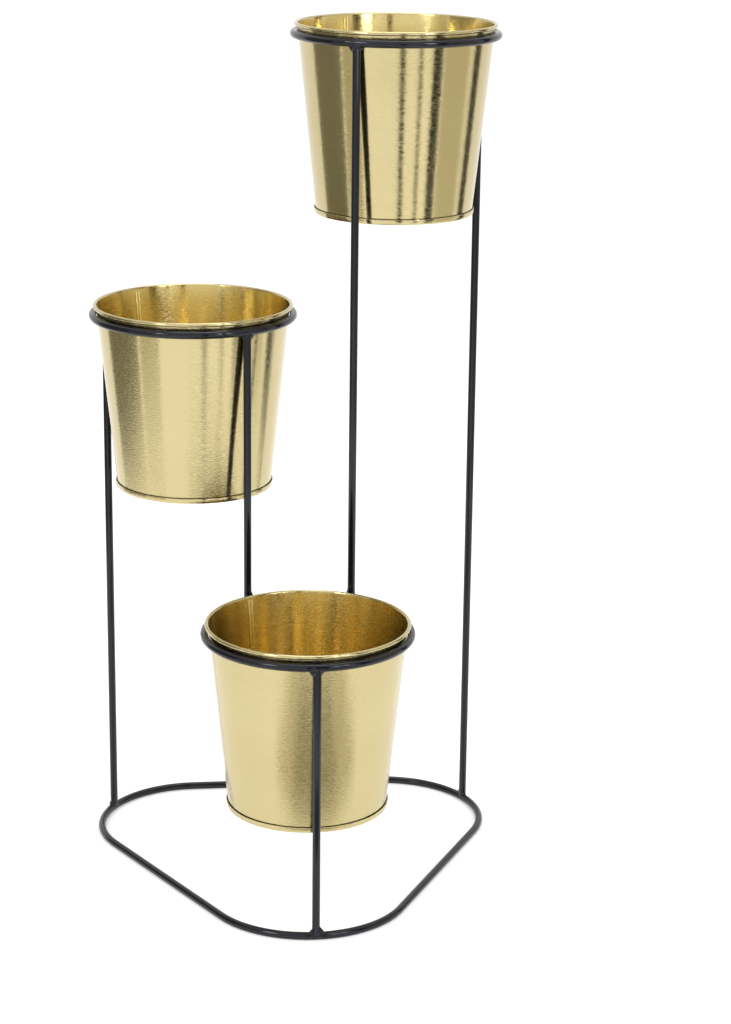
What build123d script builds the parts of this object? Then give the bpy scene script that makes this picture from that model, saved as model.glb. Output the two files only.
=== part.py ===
from build123d import *
from math import atan2, cos, degrees, radians, sin, sqrt
import os

# Three-tier plant stand: a welded frame of round steel wire that carries three tapered sheet-metal pots.
# Millimetres, +Z up. The floor is z = 0 and the origin is the middle of the whole outline on the floor.
# The low ring is at the front (-Y), the middle ring at the back left and the top ring at the back right.

# Wire frame
wire_diameter = 5.0
wire_flats = 16                # flats that stand for the wire's round section
ring_diameter = 130.0          # centreline of each pot ring, and of the base's three rounded corners
low_tier_height = 179.5        # centreline of the low ring above the floor
middle_tier_rise = 179.5       # from the low ring up to the middle ring
top_tier_rise = 179.5          # from the middle ring up to the top ring
rear_ring_spacing = 130.0      # between the centres of the middle and the top ring
front_post_angle = -90.0       # low ring's own post, seen from that ring's centre
left_post_angle = 150.0        # middle ring's outer post, seen from that ring's centre
right_post_angle = 26.0        # top ring's outer post, seen from that ring's centre

# Weld beads
weld_climb = 4.5               # how far a bead runs along the post past the wire
weld_spread = 2.8              # how far a bead runs along the wire past the post
weld_wrap = 1.8                # how far a bead reaches down the wire's sides
weld_stand_out = 0.5           # how far a bead bulges past the wire's outer side
weld_edge = 0.3                # thickness at a bead's feathered edge on the post
lap_weld_reach = 3.4           # half width of a bead where a link post lies beside the low ring
lap_weld_root = 2.0            # the same at the ring's underside

# Pots
pot_height = 121.0
pot_foot_radius = 50.4         # outside of the wall, carried down to the pot's lower edge
sheet_thickness = 0.6
rim_roll_diameter = 2.6
rim_roll_turn = 270.0          # degrees that the rolled edge curls through
rim_roll_flats = 6
rim_above_ring = 6.0           # centre of the rolled rim above the ring's centreline
pot_clearance = 0.3            # between the wall and the inside of its ring
floor_recess = 3.2             # underside of the floor above the pot's lower edge
hem_height = 3.4               # outside fold that clasps the wall's lower end
hem_thickness = 1.0
hem_bend = 0.3                 # corner where the hem folds up under the wall
floor_bend = 1.0               # corner where the floor turns down to the hem
lock_seam_width = 3.8
lock_seam_thickness = 0.5
lock_seam_end_gap = 1.0        # from the seam's strip to the floor below it and to the rim above it
low_seam_angle = 122.0
middle_seam_angle = 124.0
top_seam_angle = 115.0

# Plan of the rings. The posts that link the tiers lie against the outside of the low ring, so the
# two rear rings stand one wire diameter further from it than circles that just touch.
wire_radius = wire_diameter / 2
ring_radius = ring_diameter / 2
link_spacing = ring_diameter + wire_diameter
plan_depth = sqrt(link_spacing**2 - (rear_ring_spacing / 2) ** 2)
rear_y = (plan_depth + weld_stand_out) / 2
low_centre = Vector(0, rear_y - plan_depth)
middle_centre = Vector(-rear_ring_spacing / 2, rear_y)
top_centre = Vector(rear_ring_spacing / 2, rear_y)

base_height = wire_radius
low_height = low_tier_height
middle_height = low_height + middle_tier_rise
top_height = middle_height + top_tier_rise


def heading(start, end):
    """Direction in plan from one point to another, in degrees from +X."""
    return degrees(atan2(end.Y - start.Y, end.X - start.X))


def toward(angle):
    """Unit vector in plan at an angle from +X."""
    return Vector(cos(radians(angle)), sin(radians(angle)))


def at_height(place, height):
    """Point above a plan point."""
    return Vector(place.X, place.Y, height)


def upright_plane(place, height, angle):
    """Plane through a vertical line: its x runs outward at the angle and its y runs up."""
    return Plane(at_height(place, height), x_dir=toward(angle), z_dir=toward(angle - 90))


os.makedirs("parts", exist_ok=True)

# Section of the wire: flats at its top, bottom and sides, where wires rest on and lie against each other
with BuildSketch() as wire_section:
    RegularPolygon(wire_radius, wire_flats, major_radius=False, rotation=180 / wire_flats)

# Base loop: one wire bent round three corners, each corner concentric with the ring above it
corners = (low_centre, top_centre, middle_centre)
with BuildPart() as base_loop:
    for number, centre in enumerate(corners):
        next_centre = corners[(number + 1) % len(corners)]
        after_next = corners[(number + 2) % len(corners)]
        run_angle = heading(centre, next_centre)
        bend = (heading(next_centre, after_next) - run_angle) % 360
        outward = toward(run_angle - 90)
        with BuildSketch(upright_plane(centre + outward * ring_radius, base_height, run_angle - 90)):
            add(wire_section.sketch)
        extrude(amount=-(next_centre - centre).length)
        with BuildSketch(upright_plane(next_centre + outward * ring_radius, base_height, run_angle - 90)):
            add(wire_section.sketch)
        revolve(axis=Axis(at_height(next_centre, 0), (0, 0, 1)), revolution_arc=bend)
base_loop.part.label = "base_loop"
export_step(base_loop.part, "parts/base_loop.step")

# Rings: wire rolled to a circle and butt-welded, one for each tier
rings = {}
for tier, centre, height in (
    ("low", low_centre, low_height),
    ("middle", middle_centre, middle_height),
    ("top", top_centre, top_height),
):
    with BuildPart() as ring:
        with BuildSketch(upright_plane(centre + toward(0) * ring_radius, height, 0)):
            add(wire_section.sketch)
        revolve(axis=Axis(at_height(centre, 0), (0, 0, 1)))
    ring.part.label = f"{tier}_ring"
    export_step(ring.part, f"parts/{tier}_ring.step")
    rings[tier] = ring

# Posts: straight wires cut square. The three outer posts stand on the base loop and carry a ring on
# their upper end. The two link posts start beside the low ring, level with its underside.
base_top = base_height + wire_radius
low_ring_underside = low_height - wire_radius
middle_link_angle = heading(middle_centre, low_centre)
top_link_angle = heading(top_centre, low_centre)
front_place = low_centre + toward(front_post_angle) * ring_radius
left_place = middle_centre + toward(left_post_angle) * ring_radius
right_place = top_centre + toward(right_post_angle) * ring_radius
middle_link_place = middle_centre + toward(middle_link_angle) * ring_radius
top_link_place = top_centre + toward(top_link_angle) * ring_radius
posts = {}
for post_name, place, outward_angle, foot_height, ring_height in (
    ("front_post", front_place, front_post_angle, base_top, low_height),
    ("left_post", left_place, left_post_angle, base_top, middle_height),
    ("right_post", right_place, right_post_angle, base_top, top_height),
    ("middle_link_post", middle_link_place, middle_link_angle, low_ring_underside, middle_height),
    ("top_link_post", top_link_place, top_link_angle, low_ring_underside, top_height),
):
    with BuildPart() as post:
        with BuildSketch(Plane(at_height(place, foot_height), x_dir=toward(outward_angle))):
            add(wire_section.sketch)
        extrude(amount=ring_height - wire_radius - foot_height)
    post.part.label = post_name
    export_step(post.part, f"parts/{post_name}.step")
    posts[post_name] = post


def bead_outline(half_width, half_length):
    """Eight-sided outline of a bead, across the wire and along it."""
    with BuildSketch() as outline:
        Rectangle(2 * half_width, 2 * half_length)
        chamfer(outline.vertices(), min(half_width, half_length) * (2 - sqrt(2)))
    return outline.sketch


def butt_bead(place, outward, wire_height, climb):
    """Bead where a post's square end meets a wire: close round the post, spread along the wire.

    climb is 1 where the post rises from the wire and -1 where it hangs below it.
    """
    wire_side = wire_height + climb * wire_radius
    bulged = place + toward(outward) * (weld_stand_out / 2)
    with BuildPart() as bead:
        with BuildSketch(Plane(at_height(place, wire_side + climb * weld_climb), x_dir=toward(outward))):
            add(bead_outline(wire_radius + weld_edge, wire_radius + weld_edge))
        with BuildSketch(Plane(at_height(bulged, wire_side - climb * weld_wrap), x_dir=toward(outward))):
            add(bead_outline(wire_radius + weld_stand_out / 2, wire_radius + weld_spread))
        loft(ruled=True)
    return bead.part


def lap_bead(place, ringward, wire_height):
    """Bead that fills the groove where a post lies against the outside of a ring."""
    groove = place + toward(ringward) * wire_radius
    with BuildPart() as bead:
        with BuildSketch(Plane(at_height(place, wire_height + wire_radius + weld_climb), x_dir=toward(ringward))):
            add(bead_outline(wire_radius + weld_edge, wire_radius + weld_edge))
        with BuildSketch(Plane(at_height(groove, wire_height), x_dir=toward(ringward))):
            add(bead_outline(lap_weld_reach, wire_radius + weld_spread))
        with BuildSketch(Plane(at_height(groove, wire_height - wire_radius), x_dir=toward(ringward))):
            add(bead_outline(lap_weld_root, wire_radius))
        loft(ruled=True)
    return bead.part


# Weld beads, one group for each wire that the posts are welded to
for node, beads, metals in (
    ("base_welds", (
        butt_bead(front_place, front_post_angle, base_height, 1),
        butt_bead(left_place, left_post_angle, base_height, 1),
        butt_bead(right_place, right_post_angle, base_height, 1),
    ), (base_loop, posts["front_post"], posts["left_post"], posts["right_post"])),
    ("low_ring_welds", (
        butt_bead(front_place, front_post_angle, low_height, -1),
        lap_bead(middle_link_place, middle_link_angle, low_height),
        lap_bead(top_link_place, top_link_angle, low_height),
    ), (rings["low"], posts["front_post"], posts["middle_link_post"], posts["top_link_post"])),
    ("middle_ring_welds", (
        butt_bead(left_place, left_post_angle, middle_height, -1),
        butt_bead(middle_link_place, middle_link_angle, middle_height, -1),
    ), (rings["middle"], posts["left_post"], posts["middle_link_post"])),
    ("top_ring_welds", (
        butt_bead(right_place, right_post_angle, top_height, -1),
        butt_bead(top_link_place, top_link_angle, top_height, -1),
    ), (rings["top"], posts["right_post"], posts["top_link_post"])),
):
    with BuildPart() as welds:
        add(beads)
        for metal in metals:
            add(metal.part, mode=Mode.SUBTRACT)
    welds.part.label = node
    export_step(welds.part, f"parts/{node}.step")

# Pots: a rolled sheet wall, lock-seamed up one side, whose top edge is curled outward, and a recessed
# floor whose edge is folded round the wall's lower end. The wall just passes its ring where the two
# are level, and tapers from there to the foot.
rim_height = pot_height - rim_roll_diameter / 2
seat_height = rim_height - rim_above_ring
seat_radius = ring_radius - wire_radius - pot_clearance
taper = (seat_radius - pot_foot_radius) / seat_height
lean = degrees(atan2(taper, 1))
level_thickness = sheet_thickness / cos(radians(lean))


def outside(height):
    """Outside radius of the wall at a height above the pot's lower edge."""
    return pot_foot_radius + taper * height


def inside(height):
    """Inside radius of the wall at a height above the pot's lower edge."""
    return outside(height) - level_thickness


roll_radius = rim_roll_diameter / 2
roll_start = 180 - lean
roll_step = rim_roll_turn / rim_roll_flats
roll_centre = Vector(inside(rim_height) + roll_radius / cos(radians(lean)), rim_height)
roll_outside = [
    roll_centre + toward(roll_start - roll_step * flat) * roll_radius for flat in range(rim_roll_flats + 1)
]
roll_inside = [
    roll_centre + toward(roll_start - roll_step * flat) * (roll_radius - sheet_thickness)
    for flat in range(rim_roll_flats + 1)
]
floor_top = floor_recess + sheet_thickness
seam_foot = floor_top + lock_seam_end_gap
seam_head = rim_height - lock_seam_end_gap
seam_turn = degrees(lock_seam_width / inside((seam_foot + seam_head) / 2))
for tier, centre, ring_height, seam_angle in (
    ("low", low_centre, low_height, low_seam_angle),
    ("middle", middle_centre, middle_height, middle_seam_angle),
    ("top", top_centre, top_height, top_seam_angle),
):
    foot_height = ring_height - seat_height
    pot_axis = Axis(at_height(centre, foot_height), (0, 0, 1))
    with BuildPart() as wall:
        with BuildSketch(upright_plane(centre, foot_height, 0)):
            with BuildLine():
                Polyline(
                    (inside(sheet_thickness), sheet_thickness),
                    *roll_outside,
                    *reversed(roll_inside),
                    (outside(sheet_thickness), sheet_thickness),
                    close=True,
                )
            make_face()
        revolve(axis=pot_axis)
        with BuildSketch(upright_plane(centre, foot_height, seam_angle - seam_turn / 2)):
            with BuildLine():
                Polyline(
                    (inside(seam_foot) + sheet_thickness / 2, seam_foot),
                    (inside(seam_head) + sheet_thickness / 2, seam_head),
                    (inside(seam_head) - lock_seam_thickness, seam_head),
                    (inside(seam_foot) - lock_seam_thickness, seam_foot),
                    close=True,
                )
            make_face()
        revolve(axis=pot_axis, revolution_arc=seam_turn)
    wall.part.label = f"{tier}_pot_wall"
    export_step(wall.part, f"parts/{tier}_pot_wall.step")
    with BuildPart() as floor:
        with BuildSketch(upright_plane(centre, foot_height, 0)):
            with BuildLine():
                Polyline(
                    (0, floor_recess),
                    (inside(floor_recess) - sheet_thickness, floor_recess),
                    (inside(0) - sheet_thickness, 0),
                    (outside(0) + hem_thickness - hem_bend, 0),
                    (outside(hem_bend) + hem_thickness, hem_bend),
                    (outside(hem_height) + hem_thickness, hem_height),
                    (outside(hem_height), hem_height),
                    (outside(sheet_thickness), sheet_thickness),
                    (inside(sheet_thickness), sheet_thickness),
                    (inside(floor_top - floor_bend), floor_top - floor_bend),
                    (inside(floor_top) - floor_bend, floor_top),
                    (0, floor_top),
                    close=True,
                )
            make_face()
        revolve(axis=pot_axis)
    floor.part.label = f"{tier}_pot_floor"
    export_step(floor.part, f"parts/{tier}_pot_floor.step")
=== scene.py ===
import math

import bmesh
import bpy
from mathutils import Matrix, Vector


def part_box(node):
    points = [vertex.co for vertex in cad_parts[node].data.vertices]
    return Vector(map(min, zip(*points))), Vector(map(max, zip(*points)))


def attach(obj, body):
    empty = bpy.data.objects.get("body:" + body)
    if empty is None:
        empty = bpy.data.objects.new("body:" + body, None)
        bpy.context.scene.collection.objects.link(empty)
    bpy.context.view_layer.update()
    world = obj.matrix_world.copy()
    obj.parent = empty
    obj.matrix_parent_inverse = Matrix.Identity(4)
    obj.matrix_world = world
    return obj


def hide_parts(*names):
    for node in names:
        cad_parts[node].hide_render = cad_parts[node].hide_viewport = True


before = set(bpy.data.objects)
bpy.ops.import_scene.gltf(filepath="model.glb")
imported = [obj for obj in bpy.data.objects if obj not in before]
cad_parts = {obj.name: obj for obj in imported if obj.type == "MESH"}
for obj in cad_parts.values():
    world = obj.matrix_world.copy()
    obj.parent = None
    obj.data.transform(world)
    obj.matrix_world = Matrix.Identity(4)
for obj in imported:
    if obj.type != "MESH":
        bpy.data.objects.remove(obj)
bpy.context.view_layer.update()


# Base loop. One length of round steel wire, bent to a rounded triangle and butt-welded into a loop.
# It lies flat on the floor and carries the three outer posts. The whole stand is powder-coated in a
# satin black.
wire_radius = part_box("base_loop")[1].z / 2
wire_sides = 32
corner_steps = 40
merge_distance = 1e-6
crease_angle = math.radians(40)
coat_black = (0.0034, 0.0034, 0.0060, 1)
coat_dust = (0.0085, 0.0085, 0.0125, 1)
coat_sheen = (0.90, 0.92, 1.0, 1)
coat_specular = 0.42
coat_roughness = (0.08, 0.18)
coat_patches = 35
coat_grain = 1400
coat_grain_height = 0.00003


def new_material(name):
    """New node material, with its nodes, its links and its shader."""
    material = bpy.data.materials.new(name)
    material.use_nodes = True
    tree = material.node_tree
    return material, tree.nodes, tree.links, tree.nodes["Principled BSDF"]


def add_node(nodes, kind, **values):
    """One shader node. Inputs are set by name, with _ for a space, and the rest as properties."""
    node = nodes.new(kind)
    for name, value in values.items():
        socket = name.replace("_", " ")
        if socket in node.inputs:
            node.inputs[socket].default_value = value
        else:
            setattr(node, name, value)
    return node


def colour_mix(nodes, first, second):
    """Node that mixes two colours."""
    mix = nodes.new("ShaderNodeMix")
    mix.data_type = "RGBA"
    mix.inputs["A"].default_value = first
    mix.inputs["B"].default_value = second
    return mix


def spread(nodes, least, most):
    """Node that spreads the usual values of a noise from least to most."""
    return add_node(
        nodes, "ShaderNodeMapRange", From_Min=0.3, From_Max=0.7, To_Min=least, To_Max=most
    )


def powder_coat():
    """Satin black powder coat: a fine orange-peel grain and slightly dustier patches."""
    material, nodes, links, coat = new_material("black_powder_coat")
    place = nodes.new("ShaderNodeTexCoord")
    patches = add_node(nodes, "ShaderNodeTexNoise", Scale=coat_patches, Detail=3)
    links.new(place.outputs["Object"], patches.inputs["Vector"])
    colour = colour_mix(nodes, coat_black, coat_dust)
    links.new(patches.outputs["Fac"], colour.inputs["Factor"])
    links.new(colour.outputs["Result"], coat.inputs["Base Color"])
    satin = spread(nodes, *coat_roughness)
    links.new(patches.outputs["Fac"], satin.inputs["Value"])
    links.new(satin.outputs["Result"], coat.inputs["Roughness"])
    grain = add_node(nodes, "ShaderNodeTexNoise", Scale=coat_grain, Detail=2)
    links.new(place.outputs["Object"], grain.inputs["Vector"])
    peel = add_node(nodes, "ShaderNodeBump", Strength=0.5, Distance=coat_grain_height)
    links.new(grain.outputs["Fac"], peel.inputs["Height"])
    links.new(peel.outputs["Normal"], coat.inputs["Normal"])
    coat.inputs["Specular IOR Level"].default_value = coat_specular
    coat.inputs["Specular Tint"].default_value = coat_sheen
    return material


coat = powder_coat()


def middle_of(node):
    """Middle of a solid's box."""
    low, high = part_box(node)
    return (low + high) / 2


def round_section(mesh, place, along):
    """Open circle of edges as wide as the wire, square to the way that the wire runs."""
    turn = along.to_track_quat("Z", "Y").to_matrix().to_4x4()
    circle = bmesh.ops.create_circle(
        mesh, segments=wire_sides, radius=wire_radius, matrix=Matrix.Translation(place) @ turn
    )
    return circle["verts"]


def rim_edges(points):
    """Edges that run between the given points."""
    chosen = set(points)
    return [edge for edge in {e for p in points for e in p.link_edges} if set(edge.verts) <= chosen]


def bend(mesh, end, pivot, angle, steps):
    """Turns the wire's open end round an upright line through pivot, and gives the new end."""
    turned = bmesh.ops.spin(
        mesh, geom=end + rim_edges(end), cent=pivot, axis=(0, 0, 1), angle=angle, steps=steps
    )
    return [part for part in turned["geom_last"] if isinstance(part, bmesh.types.BMVert)]


def run_on(mesh, end, step):
    """Draws the wire's open end straight on by step, and gives the new end."""
    drawn = bmesh.ops.extrude_edge_only(mesh, edges=rim_edges(end))
    points = [part for part in drawn["geom"] if isinstance(part, bmesh.types.BMVert)]
    bmesh.ops.translate(mesh, vec=step, verts=points)
    return points


def finished(mesh, name, material, body, slot, *nodes):
    """Closes the mesh, turns its faces outwards and makes it the piece that replaces the nodes."""
    bmesh.ops.remove_doubles(mesh, verts=mesh.verts, dist=merge_distance)
    bmesh.ops.recalc_face_normals(mesh, faces=mesh.faces)
    for face in mesh.faces:
        face.smooth = True
    for edge in mesh.edges:
        edge.smooth = not edge.is_manifold or edge.calc_face_angle(0) < crease_angle
    data = bpy.data.meshes.new(name)
    mesh.to_mesh(data)
    mesh.free()
    data.materials.append(material)
    piece = bpy.data.objects.new(name, data)
    bpy.context.scene.collection.objects.link(piece)
    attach(piece, body)
    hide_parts(*nodes)
    return piece


tiers = ("low", "middle", "top")
ring_centre = {tier: middle_of(f"{tier}_ring") for tier in tiers}
ring_low, ring_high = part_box("low_ring")
ring_radius = (ring_high.x - ring_low.x) / 2 - wire_radius

base = bmesh.new()
corner_order = ("low", "top", "middle")
corners = [Vector((ring_centre[tier].x, ring_centre[tier].y, wire_radius)) for tier in corner_order]
end = []
for index, corner in enumerate(corners):
    arriving = (corner - corners[index - 1]).normalized()
    leaving = corners[(index + 1) % 3] - corner
    outward = Vector((arriving.y, -arriving.x, 0))
    if not end:
        end = round_section(base, corner + outward * ring_radius, arriving)
    end = bend(base, end, corner, arriving.angle(leaving), corner_steps)
    end = run_on(base, end, leaving)
finished(base, "base_wire", coat, "stand", "black_powder_coat", "base_loop")


# Holder rings. The same wire rolled to three equal rings, butt-welded and dressed smooth. Each one
# stands at its own height over a corner of the base loop and touches its neighbours in plan.
ring_steps = 160
for tier in tiers:
    ring = bmesh.new()
    start = ring_centre[tier] + Vector((0, ring_radius, 0))
    section = round_section(ring, start, Vector((1, 0, 0)))
    bmesh.ops.spin(
        ring, geom=section + rim_edges(section), cent=ring_centre[tier], axis=(0, 0, 1),
        angle=math.tau, steps=ring_steps, use_merge=True,
    )
    finished(ring, f"{tier}_ring_wire", coat, "stand", "black_powder_coat", f"{tier}_ring")


# Posts. Straight lengths of the same wire with square-cut ends: three from the base loop up to a
# ring, and two link posts that stand against the low ring's outside and end under a higher ring.
post_sink = 0.0012
post_cut_edge = 0.0003
for node in ("front_post", "left_post", "right_post", "middle_link_post", "top_link_post"):
    low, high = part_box(node)
    standing = low.z < ring_centre["low"].z - 2 * wire_radius
    foot = low.z - post_sink if standing else low.z
    head = high.z + post_sink
    post = bmesh.new()
    bmesh.ops.create_cone(
        post, cap_ends=True, segments=wire_sides, radius1=wire_radius, radius2=wire_radius,
        depth=head - foot,
        matrix=Matrix.Translation(((low.x + high.x) / 2, (low.y + high.y) / 2, (foot + head) / 2)),
    )
    cut_edges = [
        edge for edge in post.edges
        if abs(edge.verts[0].co.z - edge.verts[1].co.z) < merge_distance
    ]
    bmesh.ops.bevel(
        post, geom=cut_edges, offset=post_cut_edge, affect="EDGES", segments=2, profile=0.5,
        material=-1,
    )
    finished(post, f"{node}_wire", coat, "stand", "black_powder_coat", node)


# Weld beads. Where a post meets a wire it is tacked from both sides, which leaves a small lump each
# side and a thin fillet between them. The coat runs over the beads and softens their edges.
bead_cell = 0.00028
bead_smoothing = 9
stub_radius = wire_radius - 0.00006
stub_length = 0.006
lap_stub_length = 0.0125
arc_half = 0.0075
millimetre = 0.001
# Lumps of a butt bead: along the wire, out of the ring, away from the wire, and their radius
butt_lumps = (
    (0.0026, 0.0, 0.0011, 0.0017),
    (0.0037, 0.0, 0.0003, 0.0013),
    (0.0021, 0.0, 0.0029, 0.0010),
    (0.0016, 0.0016, 0.0004, 0.0013),
    (0.0014, -0.0017, 0.0006, 0.0011),
)
# One more, measured from the wire's middle line, that always lies on the ring's outer face
outer_lump = (0.0022, 0.0017, 0.0006, 0.0013)
# Lumps of a lap bead: up the post, to its side, and their radius
lap_lumps = (
    (-0.0018, 0.0019, 0.0010), (0.0, 0.0022, 0.0013), (0.0019, 0.0021, 0.0014),
    (0.0038, 0.0021, 0.0013), (0.0056, 0.0022, 0.0011), (0.0073, 0.0021, 0.0008),
)
# Share of the wire's radius by which a lap bead's lumps move out with each millimetre up
lap_slant = 0.09
lighter_butt_side = 0.5
lighter_lap_side = 0.85


def add_lump(mesh, place, radius):
    """One round puddle of weld."""
    bmesh.ops.create_icosphere(
        mesh, subdivisions=3, radius=radius, matrix=Matrix.Translation(place)
    )


def add_stub(mesh, place, direction, length):
    """Short length of straight wire that the bead is melted into."""
    turn = direction.to_track_quat("Z", "Y").to_matrix().to_4x4()
    bmesh.ops.create_cone(
        mesh, cap_ends=True, segments=wire_sides, radius1=stub_radius, radius2=stub_radius,
        depth=length, matrix=Matrix.Translation(place + direction * length / 2) @ turn,
    )


def melted(mesh, name, *nodes):
    """Fuses the lumps and stubs into one skin and lets the coat round its hollows."""
    rough = bpy.data.meshes.new(name + "_rough")
    mesh.to_mesh(rough)
    mesh.free()
    block = bpy.data.objects.new(name + "_rough", rough)
    bpy.context.scene.collection.objects.link(block)
    fuse = block.modifiers.new("fuse", "REMESH")
    fuse.mode = "VOXEL"
    fuse.voxel_size = bead_cell
    fused = bmesh.new()
    fused.from_object(block, bpy.context.evaluated_depsgraph_get())
    bpy.data.objects.remove(block)
    for _ in range(bead_smoothing):
        bmesh.ops.smooth_vert(
            fused, verts=fused.verts, factor=0.5, use_axis_x=True, use_axis_y=True, use_axis_z=True
        )
    finished(fused, name, coat, "stand", "black_powder_coat", *nodes)


def butt_bead(mesh, joint, upward, tangent, lean):
    """Bead of a post that ends on a wire. Joint is on the wire's middle line, and lean is which way
    the heavier lump lies."""
    away = Vector((0, 0, -upward))
    add_stub(mesh, joint, away, wire_radius + stub_length)
    add_stub(mesh, joint - tangent * arc_half, tangent, 2 * arc_half)
    face = joint + away * wire_radius
    out = tangent.cross(Vector((0, 0, 1)))
    for side, size in ((lean, 1.0), (-lean, lighter_butt_side)):
        for along, outward, rise, radius in butt_lumps:
            place = face + tangent * side * along + out * side * outward + away * rise
            add_lump(mesh, place, radius * size)
        along, outward, rise, radius = outer_lump
        place = joint + tangent * side * along + out * outward + away * rise
        add_lump(mesh, place, radius * size)


def lap_bead(mesh, joint, tangent, out, lean):
    """Bead of a link post against a ring's outside. Joint is on the ring's middle line."""
    post_place = joint + out * 2 * wire_radius
    add_stub(mesh, post_place - Vector((0, 0, wire_radius)), Vector((0, 0, 1)), lap_stub_length)
    add_stub(mesh, joint - tangent * arc_half, tangent, 2 * arc_half)
    for side, size in ((lean, 1.0), (-lean, lighter_lap_side)):
        for rise, reach, radius in lap_lumps:
            place = joint + out * wire_radius * (1.0 + lap_slant * max(rise, 0) / millimetre)
            add_lump(mesh, place + tangent * side * reach + Vector((0, 0, rise)), radius * size)


def ring_way(tier, place):
    """Ways along and out of a ring at the post nearest to place."""
    out = place - ring_centre[tier]
    out.z = 0
    out.normalize()
    return Vector((-out.y, out.x, 0)), out


outer_posts = {"front_post": "low", "left_post": "middle", "right_post": "top"}
base_beads = bmesh.new()
ring_beads = {tier: bmesh.new() for tier in tiers}
for post, tier in outer_posts.items():
    along, out = ring_way(tier, middle_of(post))
    foot = ring_centre[tier] + out * ring_radius
    foot.z = wire_radius
    butt_bead(base_beads, foot, -1, along, 1)
    butt_bead(ring_beads[tier], ring_centre[tier] + out * ring_radius, 1, along, -1)
for post, tier, lean in (("middle_link_post", "middle", 1), ("top_link_post", "top", -1)):
    along, out = ring_way(tier, middle_of(post))
    butt_bead(ring_beads[tier], ring_centre[tier] + out * ring_radius, 1, along, lean)
    along, out = ring_way("low", middle_of(post))
    lap_bead(ring_beads["low"], ring_centre["low"] + out * ring_radius, along, out, -1)
melted(base_beads, "base_weld_beads", "base_welds")
for tier in tiers:
    melted(ring_beads[tier], f"{tier}_ring_weld_beads", f"{tier}_ring_welds")


# Pot walls. Brass-coloured sheet brushed in short strokes round the pot, rolled to a taper, closed
# by a lock seam folded to the inside at the back, and curled outwards over itself for a safe rim.
sheet = 0.0006
foot_radius = 0.0504
rim_height = 0.1197
wall_top_radius = 0.06282
roll_radius = 0.00127
roll_angle = math.radians(265)
roll_steps = 18
wall_steps = 192
wall_bands = 12
hem_top = 0.0034
# Band above the hem's top edge over which the painted shade line fades out
painted_shade_band = 0.0008
brass_deep = (0.535, 0.445, 0.225, 1)
brass_pale = (0.605, 0.515, 0.275, 1)
# Painted light: the inside tones are lighter than the outer brass, to stand in for light the pot's
# deep interior lacks
inside_lightened_deep = (0.715, 0.580, 0.245, 1)
inside_lightened_pale = (0.795, 0.665, 0.320, 1)
# Painted shade: the dark colour of the line on the wall just above the hem's top edge
painted_hem_shade = (0.060, 0.042, 0.018, 1)
brass_roughness = (0.12, 0.24)
brass_anisotropy = 0.75
stroke_stretch = 5
stroke_scale = 440
fleck_scale = 1100
fleck_share = 0.12
tone_scale = 5
wall_stroke_depth = 0.000042
inside_stroke_depth = 0.000015


def brushing():
    """Short brush strokes: their height, their sheen and a slow change of tone. The vector is drawn
    out along the strokes before it comes in."""
    group = bpy.data.node_groups.new("brush_strokes", "ShaderNodeTree")
    group.interface.new_socket(name="Vector", in_out="INPUT", socket_type="NodeSocketVector")
    for name in ("Height", "Sheen", "Tone"):
        group.interface.new_socket(name=name, in_out="OUTPUT", socket_type="NodeSocketFloat")
    nodes, links = group.nodes, group.links
    source = nodes.new("NodeGroupInput")
    result = nodes.new("NodeGroupOutput")
    strokes = add_node(nodes, "ShaderNodeTexNoise", Scale=stroke_scale, Detail=0)
    flecks = add_node(nodes, "ShaderNodeTexNoise", Scale=fleck_scale, Detail=1, Roughness=0.5)
    tone = add_node(nodes, "ShaderNodeTexNoise", Scale=tone_scale, Detail=2)
    for texture in (strokes, flecks, tone):
        links.new(source.outputs["Vector"], texture.inputs["Vector"])
    height = nodes.new("ShaderNodeMath")
    height.operation = "MULTIPLY_ADD"
    height.inputs[1].default_value = fleck_share
    links.new(flecks.outputs["Fac"], height.inputs[0])
    links.new(strokes.outputs["Fac"], height.inputs[2])
    links.new(height.outputs[0], result.inputs["Height"])
    sheen = spread(nodes, *brass_roughness)
    links.new(strokes.outputs["Fac"], sheen.inputs["Value"])
    links.new(sheen.outputs["Result"], result.inputs["Sheen"])
    links.new(tone.outputs["Fac"], result.inputs["Tone"])
    return group


brush_strokes = brushing()


def brushed_brass(name, deep, pale, depth):
    """Satin brass sheet between two tones, brushed in short level strokes of the given depth. It
    gets painted shade where the sheet's hem_shade says so."""
    material, nodes, links, brass = new_material(name)
    place = nodes.new("ShaderNodeTexCoord")
    drawn = add_node(nodes, "ShaderNodeMapping", Scale=(1, 1, stroke_stretch))
    links.new(place.outputs["Object"], drawn.inputs["Vector"])
    brush = nodes.new("ShaderNodeGroup")
    brush.node_tree = brush_strokes
    links.new(drawn.outputs["Vector"], brush.inputs["Vector"])
    colour = colour_mix(nodes, deep, pale)
    links.new(brush.outputs["Tone"], colour.inputs["Factor"])
    # Painted shade: hem_shade darkens the brass to a dark line where the hem's edge shades the wall
    hem_shade = add_node(nodes, "ShaderNodeAttribute", attribute_name="hem_shade")
    hem_shaded_colour = colour_mix(nodes, deep, painted_hem_shade)
    links.new(hem_shade.outputs["Fac"], hem_shaded_colour.inputs["Factor"])
    links.new(colour.outputs["Result"], hem_shaded_colour.inputs["A"])
    links.new(hem_shaded_colour.outputs["Result"], brass.inputs["Base Color"])
    links.new(brush.outputs["Sheen"], brass.inputs["Roughness"])
    bump = add_node(nodes, "ShaderNodeBump", Strength=1.0, Distance=depth)
    links.new(brush.outputs["Height"], bump.inputs["Height"])
    links.new(bump.outputs["Normal"], brass.inputs["Normal"])
    brass.inputs["Metallic"].default_value = 1
    brass.inputs["Anisotropic"].default_value = brass_anisotropy
    brass.inputs["Anisotropic Rotation"].default_value = 0.25
    return material


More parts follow.
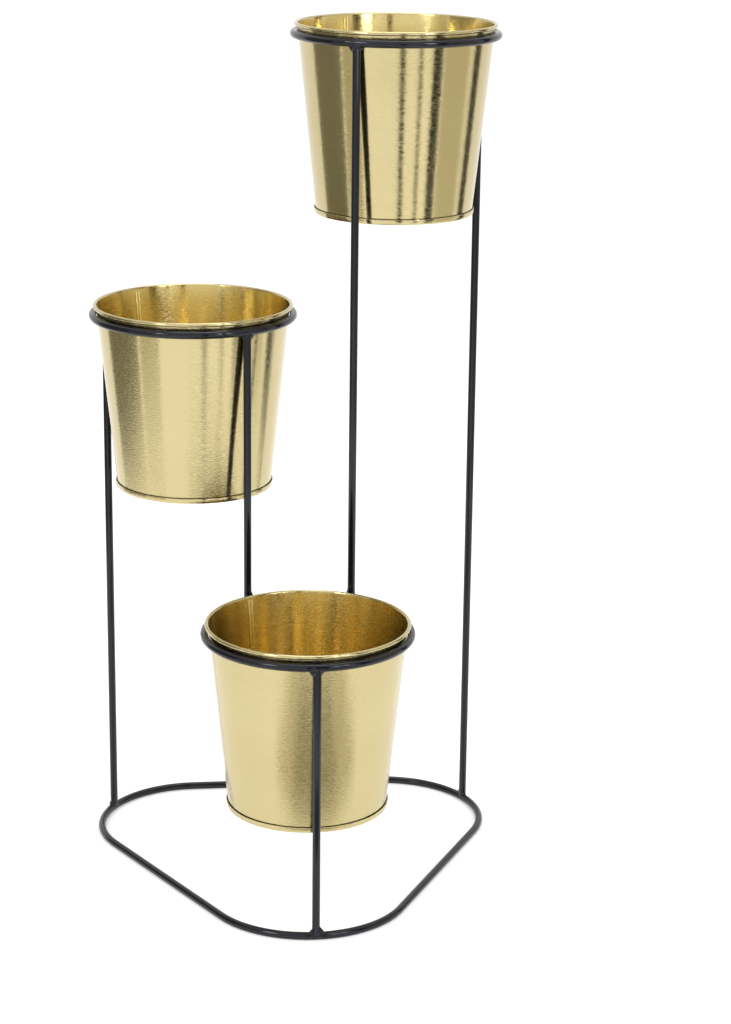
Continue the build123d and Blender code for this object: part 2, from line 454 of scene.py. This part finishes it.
wall_brass = brushed_brass("brushed_brass_wall", brass_deep, brass_pale, wall_stroke_depth)
# The inside gets a lighter copy of the same brass: painted light for the pot's interior
lightened_inside_brass = brushed_brass("brushed_brass_inside_lightened", inside_lightened_deep, inside_lightened_pale, inside_stroke_depth)
taper = math.atan((wall_top_radius - foot_radius) / rim_height)
pot_foot = {tier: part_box(f"{tier}_pot_floor")[0].z for tier in tiers}
seam_angle = {"low": 122, "middle": 124, "top": 115}
seam_width = 0.0038
seam_thickness = 0.0005
seam_rise = 0.062
seam_shortfall = 0.006
fold_offset = 0.27
fold_share = 0.42
fold_edge = 0.0003
for tier in tiers:
    axis_foot = Vector((ring_centre[tier].x, ring_centre[tier].y, pot_foot[tier]))
    wall = bmesh.new()
    point = wall.verts.new(axis_foot + Vector((foot_radius + sheet * math.tan(taper), 0, sheet)))
    roll_middle = axis_foot + Vector((wall_top_radius - sheet + roll_radius, 0, rim_height))
    rise = Vector((math.tan(taper), 0, 1))
    tip = [point]
    lowest_steps = (hem_top - sheet, painted_shade_band)
    upper_step = (rim_height - hem_top - painted_shade_band) / wall_bands
    for step in (*lowest_steps, *[upper_step] * wall_bands):
        drawn = bmesh.ops.extrude_vert_indiv(wall, verts=tip)
        tip = drawn["verts"]
        bmesh.ops.translate(wall, vec=rise * step, verts=tip)
    bmesh.ops.spin(
        wall, geom=tip, cent=roll_middle, axis=(0, 1, 0), angle=roll_angle, steps=roll_steps
    )
    outline = list(wall.verts) + list(wall.edges)
    bmesh.ops.spin(
        wall, geom=outline, cent=axis_foot, axis=(0, 0, 1), angle=math.tau, steps=wall_steps,
        use_merge=True,
    )
    bmesh.ops.remove_doubles(wall, verts=wall.verts, dist=merge_distance)
    bmesh.ops.recalc_face_normals(wall, faces=wall.faces)
    lowest = min(wall.faces, key=lambda face: face.calc_center_median().z)
    if lowest.normal.dot(lowest.calc_center_median() - axis_foot) < 0:
        bmesh.ops.reverse_faces(wall, faces=wall.faces)
    bmesh.ops.solidify(wall, geom=wall.faces, thickness=sheet)
    # Painted shade: marks the wall's vertices at the hem's top edge for the dark line above the hem
    shade = wall.verts.layers.float.new("hem_shade")
    for vert in wall.verts:
        vert[shade] = abs(vert.co.z - axis_foot.z - hem_top) < sheet / 4
    seam = math.radians(seam_angle[tier])
    seam_out = Vector((math.cos(seam), math.sin(seam), 0))
    seam_length = rim_height - seam_shortfall
    seam_reach = (foot_radius + wall_top_radius) / 2 - sheet
    seam_middle = axis_foot + seam_out * seam_reach + Vector((0, 0, seam_rise))
    turn = Matrix.Rotation(seam, 4, "Z") @ Matrix.Rotation(taper, 4, "Y")
    for offset in (-fold_offset, fold_offset):
        strip = bmesh.new()
        bmesh.ops.create_cube(strip, size=1)
        fold_size = (seam_thickness * 2, seam_width * fold_share, seam_length)
        bmesh.ops.scale(strip, vec=fold_size, verts=strip.verts)
        bmesh.ops.translate(strip, vec=(0, seam_width * offset, 0), verts=strip.verts)
        bmesh.ops.bevel(
            strip, geom=strip.edges, offset=fold_edge, affect="EDGES", segments=3, profile=0.5,
            material=-1,
        )
        bmesh.ops.transform(strip, matrix=Matrix.Translation(seam_middle) @ turn, verts=strip.verts)
        fold = bpy.data.meshes.new(f"{tier}_fold")
        strip.to_mesh(fold)
        strip.free()
        wall.from_mesh(fold)
        bpy.data.meshes.remove(fold)
    bmesh.ops.recalc_face_normals(wall, faces=wall.faces)
    # Inner faces below the rim take the lighter brass, which is painted light for the interior
    for face in wall.faces:
        middle = face.calc_center_median() - axis_foot
        if middle.z < rim_height and face.normal.dot(middle - Vector((0, 0, middle.z))) < 0:
            face.material_index = 1
    shell = finished(
        wall, f"{tier}_pot_shell", wall_brass, f"{tier}_pot", "brushed_brass", f"{tier}_pot_wall"
    )
    shell.data.materials.append(lightened_inside_brass)


# Pot floors. A disc of the same sheet, its edge turned down inside the wall and folded up round the
# wall's lower edge in a narrow hem, so that the floor stands clear of what the pot is put on.
floor_stroke_depth = 0.00006
floor_brass = brushed_brass("brushed_brass_floor", brass_deep, brass_pale, floor_stroke_depth)
floor_sheet = 0.0005
# Half section of the sheet's underside from the middle outwards: radius and height in millimetres
pan_outline = (
    (0.0, 3.25), (48.3, 3.25), (48.95, 3.05), (49.2, 2.5), (49.2, 0.6), (49.4, 0.15), (49.8, 0.02),
    (50.9, 0.02), (51.2, 0.12), (51.39, 0.45), (51.53, 1.5), (51.67, 2.8), (51.6, 3.2),
    (51.42, 3.34),
)
for tier in tiers:
    axis_foot = Vector((ring_centre[tier].x, ring_centre[tier].y, pot_foot[tier]))
    floor = bmesh.new()
    for radius, height in pan_outline:
        place = axis_foot + Vector((radius, 0, height)) * millimetre
        if not floor.verts:
            tip = [floor.verts.new(place)]
        else:
            tip = bmesh.ops.extrude_vert_indiv(floor, verts=tip)["verts"]
            bmesh.ops.translate(floor, vec=place - tip[0].co, verts=tip)
    bmesh.ops.spin(
        floor, geom=list(floor.verts) + list(floor.edges), cent=axis_foot, axis=(0, 0, 1),
        angle=math.tau, steps=wall_steps, use_merge=True,
    )
    bmesh.ops.remove_doubles(floor, verts=floor.verts, dist=merge_distance)
    bmesh.ops.recalc_face_normals(floor, faces=floor.faces)
    innermost = min(floor.faces, key=lambda face: (face.calc_center_median() - axis_foot).xy.length)
    if innermost.normal.z > 0:
        bmesh.ops.reverse_faces(floor, faces=floor.faces)
    bmesh.ops.solidify(floor, geom=floor.faces, thickness=floor_sheet)
    finished(
        floor, f"{tier}_pot_pan", floor_brass, f"{tier}_pot", "brushed_brass", f"{tier}_pot_floor"
    )


# Studio. A wide white floor and white surroundings, two soft boxes and a soft top light. Grey and
# black cards stand round the stand, and only show as the bands in the brushed sheet.
floor_size = 12
floor_white = (0.80, 0.80, 0.80, 1)
floor_glow = 0.42
world_light = 0.80


def seen_or_mirrored(nodes, links):
    """Node that is 1 where the camera looks, straight or by a reflection, and 0 for other light."""
    path = nodes.new("ShaderNodeLightPath")
    either = nodes.new("ShaderNodeMath")
    either.operation = "MAXIMUM"
    links.new(path.outputs["Is Camera Ray"], either.inputs[0])
    links.new(path.outputs["Is Glossy Ray"], either.inputs[1])
    return either


ground = bmesh.new()
bmesh.ops.create_grid(ground, x_segments=1, y_segments=1, size=floor_size)
ground_mesh = bpy.data.meshes.new("ground")
ground.to_mesh(ground_mesh)
ground.free()
ground_piece = bpy.data.objects.new("ground", ground_mesh)
bpy.context.scene.collection.objects.link(ground_piece)
material, nodes, links, paint = new_material("ground_white")
paint.inputs["Base Color"].default_value = floor_white
paint.inputs["Roughness"].default_value = 0.9
paint.inputs["Specular IOR Level"].default_value = 0.1
glow = nodes.new("ShaderNodeMath")
glow.operation = "MULTIPLY"
glow.inputs[1].default_value = floor_glow
links.new(seen_or_mirrored(nodes, links).outputs[0], glow.inputs[0])
paint.inputs["Emission Color"].default_value = (1, 1, 1, 1)
links.new(glow.outputs[0], paint.inputs["Emission Strength"])
ground_mesh.materials.append(material)

world = bpy.data.worlds.new("studio")
bpy.context.scene.world = world
world.use_nodes = True
nodes, links = world.node_tree.nodes, world.node_tree.links
air = nodes["Background"]
level = add_node(nodes, "ShaderNodeMapRange", To_Min=world_light, To_Max=1.0)
links.new(seen_or_mirrored(nodes, links).outputs[0], level.inputs["Value"])
links.new(level.outputs["Result"], air.inputs["Strength"])
air.inputs["Color"].default_value = (1, 1, 1, 1)

aim = Vector((0, 0, 0.27))
for name, place, size, power in (
    ("soft_box_left", (-1.5, -1.3, 1.5), 0.55, 11),
    ("soft_box_right", (0.9, -1.5, 1.1), 0.45, 8),
    ("soft_top", (0.1, 0.3, 2.1), 1.0, 8),
):
    lamp = bpy.data.lights.new(name, "AREA")
    lamp.shape = "SQUARE"
    lamp.size = size
    lamp.energy = power
    light = bpy.data.objects.new(name, lamp)
    bpy.context.scene.collection.objects.link(light)
    light.location = place
    light.rotation_euler = (aim - Vector(place)).to_track_quat("-Z", "Y").to_euler()

# Cards: bearing from the camera's side, distance from the middle, width, height, tilt, brightness.
# Each clears the floor by an amount of its own, so that flat ones don't share a plane.
camera_bearing = -95
card_clearance = 0.002
card_step = 0.001
card_tint = (1, 0.96, 0.80, 1)
for name, bearing, reach, width, height, tilt, grey in (
    ("card_left", -97, 0.75, 0.66, 0.90, 0, 0.26),
    ("card_left_grey", -58, 0.78, 0.34, 0.90, 0, 0.62),
    ("card_middle", 11, 0.75, 0.085, 0.90, 0, 0.05),
    ("card_middle_right", 34, 0.75, 0.07, 0.90, 0, 0.30),
    ("card_right", 55, 0.75, 0.16, 0.90, 0, 0.02),
    ("card_right_grey", 81, 0.80, 0.50, 0.90, 0, 0.78),
    ("card_far_right", 113, 0.75, 0.16, 0.90, 0, 0.06),
    ("card_low", 8, 0.32, 0.19, 0.20, 90, 0.42),
    ("card_low_grey", 10, 0.31, 0.36, 0.22, 90, 0.76),
):
    card = bmesh.new()
    bmesh.ops.create_grid(card, x_segments=1, y_segments=1, size=0.5)
    bmesh.ops.scale(card, vec=(height, width, 1), verts=card.verts)
    stand_up = Matrix.Rotation(math.radians(90 - tilt), 4, "Y")
    facing = Matrix.Rotation(math.radians(camera_bearing + bearing), 4, "Z")
    lift = card_clearance - card_step * grey + height / 2 * math.cos(math.radians(tilt))
    place = Matrix.Translation((reach, 0, lift))
    bmesh.ops.transform(card, matrix=facing @ place @ stand_up, verts=card.verts)
    card_mesh = bpy.data.meshes.new(name)
    card.to_mesh(card_mesh)
    card.free()
    material, nodes, links, paint = new_material(name)
    paint.inputs["Base Color"].default_value = (0, 0, 0, 1)
    paint.inputs["Specular IOR Level"].default_value = 0
    paint.inputs["Emission Color"].default_value = card_tint
    paint.inputs["Emission Strength"].default_value = grey
    card_mesh.materials.append(material)
    card_piece = bpy.data.objects.new(name, card_mesh)
    bpy.context.scene.collection.objects.link(card_piece)
    card_piece.visible_camera = False
    card_piece.visible_diffuse = False
    card_piece.visible_shadow = False


# Camera. It stands at the height and angle that the stand was pictured from, which were fitted to
# the rings, posts and base loop. Colours are shown as they are.
camera_place = (-0.1370, -1.5620, 0.7040)
camera_heading = 6.544
camera_dip = 16.44
camera_roll = 0.67
camera_lens = 89.47
camera = bpy.data.objects.new("camera", bpy.data.cameras.new("camera"))
bpy.context.scene.collection.objects.link(camera)
camera.data.lens = camera_lens
camera.data.clip_start = 0.05
camera.data.clip_end = 50
camera.matrix_world = (
    Matrix.Translation(camera_place)
    @ Matrix.Rotation(math.radians(-camera_heading), 4, "Z")
    @ Matrix.Rotation(math.radians(90 - camera_dip), 4, "X")
    @ Matrix.Rotation(math.radians(camera_roll), 4, "Z")
)
bpy.context.scene.camera = camera
bpy.context.scene.view_settings.view_transform = "Standard"
